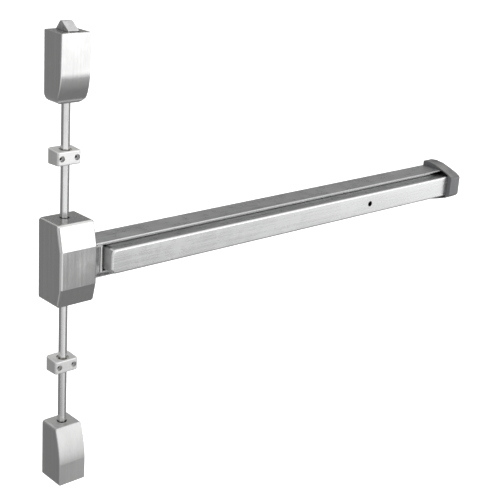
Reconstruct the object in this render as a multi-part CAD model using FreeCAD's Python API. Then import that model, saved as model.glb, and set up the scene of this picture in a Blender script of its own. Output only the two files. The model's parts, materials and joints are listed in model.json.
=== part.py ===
import FreeCAD, Part
import math
import os

# Panic exit bar: touch bar with two vertical rods, for the push side of one door leaf.
# Millimetres. X runs from the centre case along the bar, Y goes into the door, Z is up.
# The door face is Y = 0 and the device stands on its -Y side.
# X = 0 is the rods' centreline and Z = 0 is the bar's centreline.
# The rest pose is latched: pad out, both bolts thrown.

V = FreeCAD.Vector
os.makedirs("parts", exist_ok=True)

# ---- centre case ----
case_half_w = 35.0
case_top = 75.0
case_bottom = -64.0
case_profile = [(0, 75), (-54, 75), (-64, 33), (-64, -31), (-56, -64), (0, -64)]
cover_wall = 2.0
cover_round = 4.5
case_corner = 5.0
plate_t = 3.0

# ---- channel and pad ----
chan_x0 = 35.0
chan_x1 = 928.6
chan_half = 30.0
chan_depth = 48.5
chan_wall = 2.5
chan_back = 3.0
ledge_half = 23.0
ledge_y0 = -42.0
ledge_y1 = -39.5
pad_x0 = 60.5
pad_x1 = 928.0
pad_half = 21.5
pad_front = -69.0
pad_wall = 2.2
pad_face_t = 2.5
pad_foot_y = -36.5
pad_corner = 10.0
pad_edge = 3.4
pad_travel = 17.0

# ---- linkage ----
crank_x = (180.0, 830.0)
crank_y = -28.0
pad_arm = 27.0
link_arm = 20.0
crank_half_t = 6.5
crank_angle = math.atan(0.5 * pad_travel / pad_arm)
link_travel = 2.0 * link_arm * math.sin(crank_angle)
lever_x = 22.0
lever_z = 25.0
lever_a = 17.5
lever_b = 22.0
lever_angle = math.atan(0.5 * link_travel / lever_a)
rod_travel = 2.0 * lever_b * math.tan(lever_angle)
pin_r = 3.0
slot_gap = 0.4
slot_wall = 2.5
pivot_r = 4.0
run_gap = 0.06
bar_y0 = -10.5
bar_y1 = -5.5
bar_half = 10.0
bar_x1 = 850.0

# ---- dogging ----
dog_x = 687.0
dog_hole_r = 5.5
dog_shaft_r = 5.0
dog_front = -49.0
hook_reach = 15.5
hook_tip = 9.0
tab_x0 = 665.3
tab_x1 = 669.2

# ---- rods ----
rod_y = -20.0
rod_flat = 12.7
rod_corner = rod_flat / math.sqrt(3.0)
upper_rod_z = (56.0, 334.0)
lower_rod_z = (-340.0, -50.0)
slide_r = 9.0

# ---- rod guides ----
guide_half_w = 22.0
guide_back_h = 26.0
guide_front_h = 22.4
bush_h = 20.6
guide_depth = 33.0
guide_z = (176.0, -184.0)
guide_hole_x = 14.0
fix_hole_r = 2.75

# ---- top latch ----
top_half_w = 27.0
top_z = (262.0, 374.0)
top_depth = 47.7
top_corner = 15.0
bolt_pivot_y = -9.5
bolt_pivot_z = 356.0
bolt_half_w = 9.5
bolt_pin_reach = 18.0
bolt_angle = math.atan(0.5 * rod_travel / bolt_pin_reach)

# ---- bottom latch ----
low_half_w = 26.0
low_z = (-395.5, -292.0)
low_depth = (40.0, 54.0)
low_bolt_r = 8.0
low_throw_r = 7.5
low_step_z = -396.5
low_bolt_tip = -410.0

# ---- end cap ----
cap_x0 = 929.0
cap_x1 = 964.0
cap_profile = [(0, 39.5), (-12, 41), (-30, 39), (-48, 33.5), (-68, 26.5), (-79, 20)]
cap_wall = 2.5


def box(x0, x1, y0, y1, z0, z1):
    return Part.makeBox(x1 - x0, y1 - y0, z1 - z0, V(x0, y0, z0))


def cyl(radius, start, direction, length):
    return Part.makeCylinder(radius, length, V(*start), V(*direction))


def ring(outer, inner, start, direction, length):
    return cyl(outer, start, direction, length).cut(cyl(inner, start, direction, length))


def prism(points, axis, start, length):
    # A closed outline pushed along one axis. Outline pairs are (y, z), (x, z) or (x, y).
    if axis == "x":
        pts = [V(start, a, b) for a, b in points]
        way = V(length, 0, 0)
    elif axis == "y":
        pts = [V(a, start, b) for a, b in points]
        way = V(0, length, 0)
    else:
        pts = [V(a, b, start) for a, b in points]
        way = V(0, 0, length)
    return Part.Face(Part.makePolygon(pts + [pts[0]])).extrude(way)


def hexagon(flats, turn=0.0):
    r = flats / math.sqrt(3.0)
    return [
        (r * math.cos(turn + i * math.pi / 3), r * math.sin(turn + i * math.pi / 3))
        for i in range(6)
    ]


def hex_rod(z0, z1, flats=rod_flat):
    # A corner of the hexagon points to the front.
    pts = [(a, rod_y + b) for a, b in hexagon(flats, math.pi / 2)]
    return prism(pts, "z", z0, z1 - z0)


def fillet_where(shape, radius, test):
    edges = [e for e in shape.Edges if test(e)]
    return shape.makeFillet(radius, edges) if edges else shape


def middle(edge):
    return edge.valueAt(0.5 * (edge.FirstParameter + edge.LastParameter))


def along_y_at_side(edge):
    # The edges that run from the door to the front at a box-like cover's four corners.
    a = edge.Vertexes[0].Point
    b = edge.Vertexes[-1].Point
    return abs(a.x - b.x) < 0.01 and abs(a.z - b.z) < 0.01 and abs(a.y - b.y) > 5


def smooth_front(edge):
    # The edges round a cover's side faces, without the folds across its front and the door side.
    across = edge.BoundBox.XLength > 20
    mid_fold = across and -60 < middle(edge).z < 70
    return middle(edge).y < -1 and not mid_fold


def group(solids):
    return Part.makeCompound(solids)


def save(shape, name):
    shape.exportStep("parts/" + name + ".step")


def coil(radius, wire, z0, z1, turns):
    # A compression spring along Z, centred on the rod line. The round wire is drawn with
    # twelve flats of the same section area, so that its mesh stays light and true.
    height = z1 - z0 - 2.0 * wire - 0.6
    helix = Part.makeHelix(height / turns, height, radius)
    r = wire * math.sqrt(math.pi / (12 * math.sin(math.pi / 12) * math.cos(math.pi / 12)))
    pts = []
    for i in range(12):
        a = i * math.pi / 6
        pts.append(V(radius + r * math.cos(a), 0, r * math.sin(a)))
    section = Part.makePolygon(pts + [pts[0]])
    body = Part.Wire(helix).makePipeShell([section], True, True)
    body.translate(V(0, rod_y, z0 + wire + 0.3))
    return body


def slot_cut(x, y, z, along, axis, first, last, half, depth):
    # A round-ended slot: two bores and the box between them. Angle "along" is in the slot's plane.
    a = V(first * math.cos(along), 0, first * math.sin(along))
    b = V(last * math.cos(along), 0, last * math.sin(along))
    side = V(-half * math.sin(along), 0, half * math.cos(along))
    start = -0.5 * depth
    shift = V(0, start, 0)
    pts = [a + side + shift, b + side + shift, b - side + shift, a - side + shift]
    face = Part.Face(Part.makePolygon(pts + [pts[0]]))
    tool = face.extrude(V(0, depth, 0))
    for p in (a, b):
        tool = tool.fuse(Part.makeCylinder(half, depth, p + shift, V(0, 1, 0)))
    if axis == "z":
        tool.rotate(V(0, 0, 0), V(1, 0, 0), -90)
    if axis == "x":
        tool.rotate(V(0, 0, 0), V(0, 0, 1), 90)
    tool.translate(V(x, y, z))
    return tool


def arm(length, half, along, t0, t1):
    # A flat arm with a round end, in the XZ plane, from the origin; thickness t0 to t1 in Y.
    pts = [(0, half), (length, half), (length, -half), (0, -half)]
    shape = prism(pts, "y", t0, t1 - t0)
    shape = shape.fuse(cyl(half, (length, t0, 0), (0, 1, 0), t1 - t0))
    shape.rotate(V(0, 0, 0), V(0, 1, 0), -math.degrees(along))
    return shape


# ---------------------------------------------------------------- centre case

def case_cover():
    # Folded front, open at the back, with rod holes and a window for the link bar.
    solid = prism(case_profile, "x", -case_half_w, 2 * case_half_w)
    solid = fillet_where(solid, case_corner, along_y_at_side)
    solid = fillet_where(solid, cover_round, smooth_front)
    w = cover_wall
    inner = [(1, 73), (-52.4, 73), (-62, 32.8), (-62, -30.8), (-54.3, -62), (1, -62)]
    solid = solid.cut(prism(inner, "x", -case_half_w + w, 2 * (case_half_w - w)))
    solid = solid.cut(cyl(8.6, (0, rod_y, case_top - 5), (0, 0, 1), 10))
    solid = solid.cut(cyl(8.6, (0, rod_y, case_bottom - 5), (0, 0, 1), 10))
    solid = solid.cut(box(32, 36, -18.5, 1, -18, 18))
    for z in (52.0, -50.0):
        solid = solid.cut(cyl(2.2, (32, -12, z), (1, 0, 0), 5))
    return solid


def chassis_plate():
    # Flat plate on the door with lugs for the cover screws and lever pin holes.
    solid = box(-32.5, 32.5, -plate_t, 0, -61.5, 72.5)
    for z in (52.0, -50.0):
        lug = box(29.5, 32.5, -17, -plate_t, z - 5, z + 5)
        solid = solid.fuse(lug.cut(cyl(1.8, (28, -12, z), (1, 0, 0), 6)))
    for x in (-25.0, 25.0):
        for z in (-56.0, 66.0):
            solid = solid.cut(cyl(fix_hole_r, (x, -4, z), (0, 1, 0), 5))
    for z in (-lever_z, lever_z):
        solid = solid.cut(cyl(3.0, (lever_x, -4, z), (0, 1, 0), 5))
    return solid.removeSplitter()


def lever_pins():
    # Shouldered pins riveted into the chassis plate.
    pins = []
    for z in (-lever_z, lever_z):
        pin = cyl(3.0, (lever_x, 0, z), (0, -1, 0), plate_t)
        pin = pin.fuse(cyl(6.0, (lever_x, -plate_t, z), (0, -1, 0), 8.4))
        pin = pin.fuse(cyl(pivot_r, (lever_x, -10, z), (0, -1, 0), 10.5))
        pin = pin.cut(ring(5, 3.2, (lever_x, -18.0, z), (0, -1, 0), 1.1))
        pins.append(pin)
    return group(pins)


def clip(x, y, z, way):
    # A retaining ring with an open side, seated in its pin's groove.
    shape = ring(6.2, 3.2, (x, y, z), way, 1.0)
    gap = 2.0
    if way[1]:
        return shape.cut(box(x, x + 8, y - 3, y + 3, z - gap, z + gap))
    return shape.cut(box(x, x + 8, y - gap, y + gap, z - 3, z + 3))


def retaining_clips():
    # The four identical clips: two on the lever pins and two on the crank pins.
    clips = [clip(lever_x, -18.05, z, (0, -1, 0)) for z in (-lever_z, lever_z)]
    clips += [clip(x, crank_y, 13.05, (0, 0, 1)) for x in crank_x]
    return group(clips)


def slide_guides():
    # Upper guide block holds the slide; the lower one is a thin bush plate round the rod.
    up = box(-14, 14, -33, -plate_t, 47, 52.5)
    up = up.cut(cyl(slide_r + 0.08, (0, rod_y, 46), (0, 0, 1), 8))
    low = box(-14, 14, -33, -plate_t, -61.6, -59)
    low = low.cut(cyl(8.0, (0, rod_y, -63), (0, 0, 1), 6))
    return group([up, low])


def cover_screws(x, y, heights, head_x):
    # Pan-head screws through a cover's side into the lugs inside.
    screws = []
    for z in heights:
        head = cyl(3.6, (head_x, y, z), (1, 0, 0), 1.9)
        head = fillet_where(head, 1.2, lambda e: middle(e).x > head_x + 1.8)
        head = head.cut(box(head_x + 1.0, head_x + 3, y - 4, y + 4, z - 0.5, z + 0.5))
        screws.append(head.fuse(cyl(1.8, (x, y, z), (1, 0, 0), head_x - x)))
    return group(screws)


def lift_lever(sign):
    # Bell crank: one arm down to the link pin, one arm across to the slide, both slotted.
    half = pin_r + slot_gap + slot_wall
    a_len = lever_a / math.cos(lever_angle)
    b_len = lever_b / math.cos(lever_angle)
    turn = sign * lever_angle
    to_link = -sign * math.pi / 2 - turn
    to_slide = math.pi - turn
    shape = cyl(8.0, (0, -17.2, 0), (0, 1, 0), 5.2)
    shape = shape.fuse(arm(a_len, half, to_link, -17.2, -12.0))
    shape = shape.fuse(arm(b_len, half, to_slide, -17.2, -12.0))
    shape = shape.cut(cyl(pivot_r + run_gap, (0, -18, 0), (0, 1, 0), 8))
    wide = pin_r + slot_gap
    shape = shape.cut(slot_cut(0, -15, 0, to_link, "y", lever_a - 0.3, a_len + 0.3, wide, 20))
    shape = shape.cut(slot_cut(0, -15, 0, to_slide, "y", lever_b - 0.3, b_len + 0.3, wide, 20))
    shape.translate(V(lever_x, 0, sign * lever_z))
    return shape.removeSplitter()


def slide_pin_z():
    return lever_z + 0.5 * rod_travel


def upper_slide():
    # Round body that takes the rod's end, with a flat tongue down to the lever.
    z = slide_pin_z()
    shape = cyl(slide_r, (0, rod_y, 46), (0, 0, 1), 22)
    tongue = box(-8.0, 8.0, -26.0, -18.2, z - 6, 46.5)
    tongue = fillet_where(tongue, 3, lambda e: abs(middle(e).z - z + 6) < 0.01 and abs(middle(e).x) > 7)
    shape = shape.fuse(tongue)
    shape = shape.cut(hex_rod(upper_rod_z[0], 80))
    shape = shape.cut(cyl(2.5, (0, -30, z), (0, 1, 0), 15))
    return shape


def lower_slide():
    z = -slide_pin_z()
    shape = cyl(slide_r, (0, rod_y, -54.0), (0, 0, 1), 8)
    tongue = box(-8.0, 8.0, -26.0, -18.2, -48, z + 6)
    tongue = fillet_where(tongue, 3, lambda e: abs(middle(e).z - z - 6) < 0.01 and abs(middle(e).x) > 7)
    shape = shape.fuse(tongue)
    shape = shape.cut(hex_rod(-70, lower_rod_z[1]))
    shape = shape.cut(cyl(2.5, (0, -30, z), (0, 1, 0), 15))
    return shape


def slide_pin(z):
    pin = cyl(pin_r, (0, -11.4, z), (0, -1, 0), 6.8)
    return pin.fuse(cyl(2.5, (0, -18.2, z), (0, -1, 0), 7.8))


def jam_nut(z0, z1):
    nut = hex_rod(z0, z1, 19.0)
    return nut.cut(hex_rod(z0 - 1, z1 + 1))


# ---------------------------------------------------------------- channel

def bar_channel():
    # U-shaped extrusion, open to the front, with a ledge inside each wall that keeps the pad in.
    h = chan_half
    w = h - chan_wall
    d = -chan_depth
    half = [(0, h), (d + 1.2, h), (d, h - 1.2), (d, w + 0.4), (d + 0.4, w), (ledge_y0, w)]
    half += [(ledge_y0, ledge_half), (ledge_y1, ledge_half), (ledge_y1, w), (-chan_back, w)]
    pts = half + [(y, -z) for y, z in reversed(half)]
    solid = prism(pts, "x", chan_x0, chan_x1 - chan_x0)
    for x in (48.0, 908.0):
        for z in (-12.0, 12.0):
            solid = solid.cut(cyl(1.6, (x, -4, z), (0, 1, 0), 5))
    return solid


def joint_plate():
    # Tongue that ties the channel to the chassis plate, under the link bar.
    solid = box(4, 58, -5, -plate_t, -16.5, 16.5)
    for x in (12.0, 48.0):
        for z in (-12.0, 12.0):
            solid = solid.cut(Part.makeCone(3.2, 1.6, 2.0, V(x, -5, z), V(0, 1, 0)))
    return solid


def joint_screws():
    screws = []
    for x in (12.0, 48.0):
        for z in (-12.0, 12.0):
            screw = Part.makeCone(3.2, 1.6, 2.0, V(x, -5, z), V(0, 1, 0))
            if x > chan_x0:
                screw = screw.fuse(cyl(1.6, (x, -3, z), (0, 1, 0), 3))
            screw = screw.cut(box(x - 4, x + 4, -5.5, -4.4, z - 0.4, z + 0.4))
            screws.append(screw)
    return group(screws)


def mouth_filler():
    # Plate with an upright half-round rib that closes the channel's mouth beside the centre case.
    solid = box(35.4, 59.9, -44.4, -42.2, -22.3, 22.3)
    solid = solid.fuse(box(35.4, 38.0, -42.2, -12.5, 18.4, 22.3))
    solid = solid.fuse(box(35.4, 38.0, -42.2, -12.5, -22.3, -18.4))
    solid = solid.fuse(box(35.4, 59.9, -42.2, -42.0, -27.3, 27.3))
    rib = cyl(3.0, (55.8, -44.4, -22.3), (0, 0, 1), 44.6)
    solid = solid.fuse(rib.common(box(50, 59.9, -50, -43, -23, 23)))
    return solid.removeSplitter()


def bar_guides():
    # Plastic blocks that the link bar runs in.
    blocks = []
    for x in (96.0, 420.0, 640.0):
        block = box(x, x + 18, -15, -chan_back, -15, 15)
        block = block.cut(box(x - 1, x + 19, bar_y0 - 0.3, bar_y1 + 0.3, -bar_half - 0.3, bar_half + 0.3))
        blocks.append(block)
    return group(blocks)


def link_bar():
    # Flat bar with windows for the cranks, a spring tab and a notch for the dogging tab.
    solid = box(lever_x - 0.5 * link_travel - 5, bar_x1, bar_y0, bar_y1, -bar_half, bar_half)
    for x in crank_x:
        mid = x - 0.5 * link_travel
        solid = solid.cut(box(mid - 4.2, mid + 4.2, -12, -4, -7.2, 7.2))
    tab = box(496, 500, -33, bar_y1, -8, 8)
    tab = tab.cut(cyl(4.5, (490, -24, 0), (1, 0, 0), 20))
    solid = solid.fuse(tab)
    solid = solid.cut(box(tab_x0, tab_x1, bar_y0 - 1, bar_y1 + 1, 4.5, bar_half + 1))
    return solid.removeSplitter()


def dog_tab():
    # Block welded into the bar's notch; the dogging hook catches its edge.
    return box(tab_x0, tab_x1, -16.8, bar_y1, 4.5, 12.0)


def link_pins():
    # Drive pins on the bar's end, one for each lever.
    x = lever_x - 0.5 * link_travel
    return group([cyl(pin_r, (x, bar_y0, z), (0, -1, 0), 7.2) for z in (-7.5, 7.5)])


def crank(x):
    # Bell crank on a vertical pin: slotted arm to the pad pin, round-ended arm to the link bar.
    # It is drawn in the XZ plane, then laid down so that its Z becomes Y.
    half = pin_r + slot_gap + slot_wall
    t = crank_half_t
    length = pad_arm / math.cos(crank_angle)
    to_pad = math.pi + crank_angle
    to_link = math.pi / 2 + crank_angle
    shape = cyl(7.0, (0, -10.2, 0), (0, 1, 0), 20.4)
    shape = shape.fuse(arm(length, half, to_pad, -t, t))
    shape = shape.fuse(arm(link_arm, 2.7, to_link, -t, t))
    tip = (link_arm * math.cos(to_link), -t, link_arm * math.sin(to_link))
    shape = shape.fuse(cyl(3.8, tip, (0, 1, 0), 2 * t))
    shape = shape.cut(cyl(pivot_r + run_gap, (0, -12, 0), (0, 1, 0), 24))
    wide = pin_r + slot_gap
    shape = shape.cut(slot_cut(0, 0, 0, to_pad, "y", pad_arm - 0.3, length + 0.3, wide, 30))
    shape.rotate(V(0, 0, 0), V(1, 0, 0), -90)
    shape.translate(V(x, crank_y, 0))
    return shape.removeSplitter()


def crank_brackets():
    # U brackets on the channel's back wall that carry the crank pins.
    made = []
    for x in crank_x:
        base = box(x - 14, x + 14, -5.1, -chan_back, -13, 13)
        base = base.cut(box(x - 10.6, x + 10.6, -6, -2, -8, 8))
        for z0, z1 in ((-13.0, -10.5), (10.5, 13.0)):
            ear = box(x - 10, x + 10, -20, -chan_back, z0, z1)
            ear = ear.fuse(cyl(8.0, (x, crank_y, z0), (0, 0, 1), z1 - z0))
            ear = ear.fuse(box(x - 8, x + 8, crank_y, -19, z0, z1))
            ear = ear.cut(cyl(pivot_r, (x, crank_y, z0 - 1), (0, 0, 1), 5))
            base = base.fuse(ear)
        made.append(base.removeSplitter())
    return group(made)


def crank_pins():
    pins = []
    for x in crank_x:
        pin = cyl(pivot_r, (x, crank_y, -13), (0, 0, 1), 28.4)
        pin = pin.fuse(cyl(6.0, (x, crank_y, -15), (0, 0, 1), 2.0))
        pins.append(pin.cut(ring(5, 3.2, (x, crank_y, 13.0), (0, 0, 1), 1.1)))
    return group(pins)


def spring_anchor():
    # Fixed post with a guide rod for the return spring.
    solid = box(545, 549, -33, -chan_back, 10.5, 14)
    solid = solid.fuse(box(545, 549, -33, -chan_back, -14, -10.5))
    solid = solid.fuse(box(545, 549, -33, -15, -14, 14))
    solid = solid.fuse(box(545, 565, -chan_back - 2.2, -chan_back, -14, 14))
    solid = solid.fuse(cyl(4.0, (545, -24, 0), (-1, 0, 0), 40))
    return solid.removeSplitter()


def return_spring():
    # Compression spring between the link bar's tab and the fixed anchor, drawn along X.
    spring = coil(6.0, 0.8, 0.0, 45.0, 9)
    spring.translate(V(0, -rod_y, 0))
    spring.rotate(V(0, 0, 0), V(0, 1, 0), 90)
    spring.translate(V(500, -24, 0))
    return spring


def dog_bracket():
    # Bridge over the link bar that carries the dogging screw.
    solid = box(dog_x - 13, dog_x + 13, -31, -28, -18.8, 18.8)
    for z0, z1 in ((-18.8, -16.6), (16.6, 18.8)):
        solid = solid.fuse(box(dog_x - 13, dog_x + 13, -31, -chan_back, z0, z1))
    solid = solid.fuse(cyl(9.0, (dog_x, -36, 0), (0, 1, 0), 8))
    solid = solid.cut(cyl(dog_shaft_r + run_gap, (dog_x, -40, 0), (0, 1, 0), 20))
    return solid.removeSplitter()


def dog_screw():
    # Shaft with a hexagon socket in its head; the hook sits on its square inner end.
    shaft = cyl(dog_shaft_r, (dog_x, -44, 0), (0, 1, 0), 27)
    shaft = shaft.fuse(cyl(7.5, (dog_x, dog_front, 0), (0, 1, 0), 5))
    shaft = shaft.fuse(box(dog_x - 3, dog_x + 3, -17.2, -12.3, -3, 3))
    socket = [(dog_x + a, b) for a, b in hexagon(5.6)]
    return shaft.cut(prism(socket, "y", dog_front - 1, 7))


def dog_hook():
    # Hook plate that points down when free; a quarter turn brings it behind the bar's tab.
    t0 = -16.8
    t = 4.2
    web = box(dog_x - 3.5, dog_x + 3.5, t0, t0 + t, -hook_reach, 0)
    finger = box(dog_x - hook_tip, dog_x + 3.5, t0, t0 + t, -hook_reach, -hook_reach + 5)
    hub = cyl(6.5, (dog_x, t0, 0), (0, 1, 0), t)
    hook = hub.fuse(web).fuse(finger)
    return hook.cut(box(dog_x - 3, dog_x + 3, -18, -12, -3, 3)).removeSplitter()


# ---------------------------------------------------------------- push pad

def push_pad():
    # Shallow U-shaped bar with rounded front corners and feet that hook behind the ledges.
    h = pad_half
    inner = h - pad_wall
    outline = [(pad_front, h), (pad_front, -h), (pad_foot_y, -h), (pad_foot_y, h)]
    solid = prism(outline, "x", pad_x0, pad_x1 - pad_x0)
    solid = fillet_where(solid, pad_corner, lambda e: along_y_at_side(e) and middle(e).x < pad_x0 + 1)
    solid = fillet_where(solid, pad_edge, lambda e: middle(e).y < pad_front + 0.01 and middle(e).x < pad_x1 - 1)
    hollow = box(pad_x0 - 1, pad_x1 + 1, pad_front + pad_face_t, 0, -inner, inner)
    solid = solid.cut(hollow)
    foot = ledge_y1 + 0.5
    for z0, z1 in ((h - 0.5, 25.5), (-25.5, -h + 0.5)):
        solid = solid.fuse(box(pad_x0 + 8, pad_x1, foot, pad_foot_y, z0, z1))
    solid = solid.cut(cyl(dog_hole_r, (dog_x, pad_front - 1, 0), (0, 1, 0), 5))
    return solid.removeSplitter()


def pad_plug(x0, x1, lip):
    # Moulded plug that closes the pad's hollow end.
    inner = pad_half - pad_wall
    plug = box(x0, x1, pad_front + pad_face_t, -39.5, -inner, inner)
    core = box(x0 + lip[0], x1 - lip[1], pad_front + pad_face_t - 1, -38, -inner + 2, inner - 2)
    return plug.cut(core)


def pad_brackets():
    # Forks inside the pad that carry the pins for the cranks.
    made = []
    for x in crank_x:
        px = x - pad_arm
        base = box(px - 12, px + 12, pad_front + pad_face_t, pad_front + pad_face_t + 2.2, -19.2, 19.2)
        y_pin = crank_y - 0.5 * pad_travel
        for z0, z1 in ((-9.8, -7.3), (7.3, 9.8)):
            ear = box(px - 6, px + 6, pad_front + pad_face_t, y_pin, z0, z1)
            ear = ear.fuse(cyl(6.0, (px, y_pin, z0), (0, 0, 1), z1 - z0))
            base = base.fuse(ear.cut(cyl(pin_r, (px, y_pin, z0 - 1), (0, 0, 1), 5)))
        made.append(base.removeSplitter())
    return group(made)


def pad_pins():
    y_pin = crank_y - 0.5 * pad_travel
    return group([cyl(pin_r, (x - pad_arm, y_pin, -10.2), (0, 0, 1), 20.4) for x in crank_x])


# ---------------------------------------------------------------- end cap

def cap_outline(shrink):
    pts = []
    for y, z in cap_profile:
        pts.append((max(y, cap_profile[-1][0] + shrink), z - shrink))
    pts[0] = (pts[0][0] + (1 if shrink else 0), pts[0][1])
    return pts + [(y, -z) for y, z in reversed(pts)]


def end_cap():
    # Tapered moulded cap with a thick rounded nose, open towards the channel behind the pad's front.
    solid = prism(cap_outline(0.0), "x", cap_x0, cap_x1 - cap_x0)
    solid = fillet_where(solid, 6.0, lambda e: middle(e).y < -78.9 and abs(middle(e).z) > 19 and abs(middle(e).x - 946.5) < 1)
    solid = fillet_where(solid, 9.0, lambda e: middle(e).x > cap_x1 - 0.01 and middle(e).y < -1)
    solid = fillet_where(solid, 1.2, lambda e: middle(e).x < cap_x0 + 0.01 and middle(e).y < -1)
    inner = prism(cap_outline(cap_wall), "x", cap_x0 - 1, cap_x1 - cap_x0 - cap_wall - 1.5)
    inner = inner.common(box(cap_x0 - 1, cap_x1 - 4, pad_front + 0.4, 2, -29.5, 29.5))
    solid = solid.cut(inner)
    for z in (-20.0, 20.0):
        solid = solid.cut(cyl(2.2, (cap_x1 - 8, -18, z), (1, 0, 0), 12))
    return solid


def end_cap_bracket():
    # Bent plate: foot on the door inside the channel's end, upright for the cap screws.
    foot = box(895, 958, -5.2, -chan_back, -26, 26)
    foot = foot.fuse(box(929.2, 958, -chan_back, 0, -26, 26))
    upright = box(955, 958, -30, -chan_back, -26, 26)
    solid = foot.fuse(upright)
    for z in (-20.0, 20.0):
        solid = solid.cut(cyl(1.8, (950, -18, z), (1, 0, 0), 12))
    for x in (942.0,):
        for z in (-18.0, 18.0):
            solid = solid.cut(cyl(fix_hole_r, (x, -6, z), (0, 1, 0), 7))
    for z in (-12.0, 12.0):
        solid = solid.cut(cyl(1.6, (908, -6, z), (0, 1, 0), 5))
    return solid.removeSplitter()


def channel_screws():
    # Screws that hold the channel's far end to the end cap bracket.
    screws = []
    for z in (-12.0, 12.0):
        screw = cyl(1.6, (908, -5.2, z), (0, 1, 0), 5.2)
        head = cyl(3.2, (908, -7.0, z), (0, 1, 0), 1.8)
        head = head.cut(box(900, 916, -8, -6.2, z - 0.4, z + 0.4))
        screws.append(screw.fuse(head))
    return group(screws)


# ---------------------------------------------------------------- rod guides

def rod_guide(z):
    # Block a little taller at the door than in front, with a bush seat and two counterbored holes.
    a = 0.5 * guide_back_h
    b = 0.5 * guide_front_h
    side = [(0, z + a), (-guide_depth, z + b), (-guide_depth, z - b), (0, z - a)]
    solid = prism(side, "x", -guide_half_w, 2 * guide_half_w)
    solid = fillet_where(solid, 7.0, lambda e: e.BoundBox.ZLength > 20 and middle(e).y > -1)
    solid = fillet_where(solid, 4.0, lambda e: e.BoundBox.ZLength > 20 and middle(e).y < -30)
    solid = fillet_where(solid, 2.0, lambda e: middle(e).y < -0.01 and abs(middle(e).z - z) > 10)
    solid = solid.cut(cyl(10.5, (0, rod_y, z - a - 1), (0, 0, 1), 2 * a + 2))
    for x in (-guide_hole_x, guide_hole_x):
        solid = solid.cut(cyl(fix_hole_r, (x, -40, z), (0, 1, 0), 41))
        solid = solid.cut(cyl(5.0, (x, -40, z), (0, 1, 0), 12))
    return solid


def rod_bush(z):
    # Plastic bush; the rod's corners run just clear of its bore.
    solid = ring(10.5, rod_corner + 0.35, (0, rod_y, z - 0.5 * bush_h), (0, 0, 1), bush_h)
    for x in (-guide_hole_x, guide_hole_x):
        solid = solid.cut(cyl(fix_hole_r + 0.8, (x, -40, z), (0, 1, 0), 41))
        solid = solid.cut(cyl(5.0, (x, -40, z), (0, 1, 0), 12.5))
    return solid


# ---------------------------------------------------------------- top latch

def top_outline(w):
    # Side outline: straight front that leans back a little, then a long curve to the door.
    z0, z1 = top_z
    d = top_depth
    pts = [(w and 1 or 0, z1 - w), (-d + w, z1 - w), (-46.2 + w, 316)]
    for i in range(1, 9):
        a = math.radians(90.0 * i / 8)
        pts.append((-46.2 + w + (1 - math.cos(a)) * 22.0, 316 - math.sin(a) * (54.0 - w)))
    pts.append((w and 1 or 0, z0 + w))
    return pts


def curve_prism(outline, half, straight):
    # Side outline with a smooth spline through its lower front points, pushed along X.
    pts = [V(-half, y, z) for y, z in outline]
    spline = Part.BSplineCurve()
    spline.interpolate(pts[straight:-1])
    edges = [Part.makeLine(pts[i], pts[i + 1]) for i in range(straight)]
    edges.append(spline.toShape())
    edges.append(Part.makeLine(pts[-2], pts[-1]))
    edges.append(Part.makeLine(pts[-1], pts[0]))
    return Part.Face(Part.Wire(edges)).extrude(V(2 * half, 0, 0))


def rounded_foot(half, z0, z1, radius):
    # A tall block, seen from the front, whose two lower corners are rounded.
    block = box(-half, half, -60, 2, z0, z1)
    return fillet_where(block, radius, lambda e: along_y_at_side(e) and middle(e).z < z0 + 1)


def top_latch_cover():
    solid = curve_prism(top_outline(0.0), top_half_w, 2)
    solid = fillet_where(solid, 1.6, lambda e: middle(e).y < -1 and abs(middle(e).x) > 26)
    solid = solid.common(rounded_foot(top_half_w, top_z[0], top_z[1] + 5, top_corner))
    w = cover_wall
    inner = curve_prism(top_outline(w), top_half_w - w, 2)
    solid = solid.cut(inner.common(rounded_foot(top_half_w - w, top_z[0] + w, top_z[1] + 5, top_corner - w)))
    solid = solid.cut(box(-10.2, 10.2, -43.6, -3.2, top_z[1] - 4, top_z[1] + 2))
    solid = solid.cut(cyl(8.6, (0, rod_y, top_z[0] - 4), (0, 0, 1), 12))
    for z in (340.0, 300.0):
        solid = solid.cut(cyl(2.2, (20, -9, z), (1, 0, 0), 12))
    return solid


def top_latch_base():
    # Plate on the door with cheeks for the pivot pin, a spring seat and screw lugs.
    solid = box(-24.6, 24.6, -plate_t, 0, 264.5, 371.5)
    for s in (-1, 1):
        x0 = 14.2 if s > 0 else -17.0
        cheek = box(x0, x0 + 2.8, -16, -plate_t, 348, 364)
        solid = solid.fuse(cheek)
    solid = solid.cut(cyl(pin_r, (-20, bolt_pivot_y, bolt_pivot_z), (1, 0, 0), 40))
    seat = box(-13, 13, -33, -plate_t, 286, 289)
    solid = solid.fuse(seat.cut(cyl(8.2, (0, rod_y, 285), (0, 0, 1), 6)))
    for z in (340.0, 300.0):
        lug = box(21.6, 24.6, -14, -plate_t, z - 5, z + 5)
        solid = solid.fuse(lug.cut(cyl(1.8, (20, -9, z), (1, 0, 0), 8)))
    for x in (-18.5, 18.5):
        for z in (274.0, 328.0):
            solid = solid.cut(cyl(fix_hole_r, (x, -4, z), (0, 1, 0), 5))
    solid = solid.common(rounded_foot(24.6, 264.5, 380.0, top_corner - cover_wall - 0.4))
    return solid.removeSplitter()


def top_pivot_pin():
    # Fixed pin with a small head on each end.
    pin = cyl(pin_r, (-17.0, bolt_pivot_y, bolt_pivot_z), (1, 0, 0), 34.0)
    head = cyl(4.5, (-18.6, bolt_pivot_y, bolt_pivot_z), (1, 0, 0), 1.6)
    tail = cyl(4.5, (17.0, bolt_pivot_y, bolt_pivot_z), (1, 0, 0), 1.6)
    return pin.fuse(head).fuse(tail)


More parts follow.
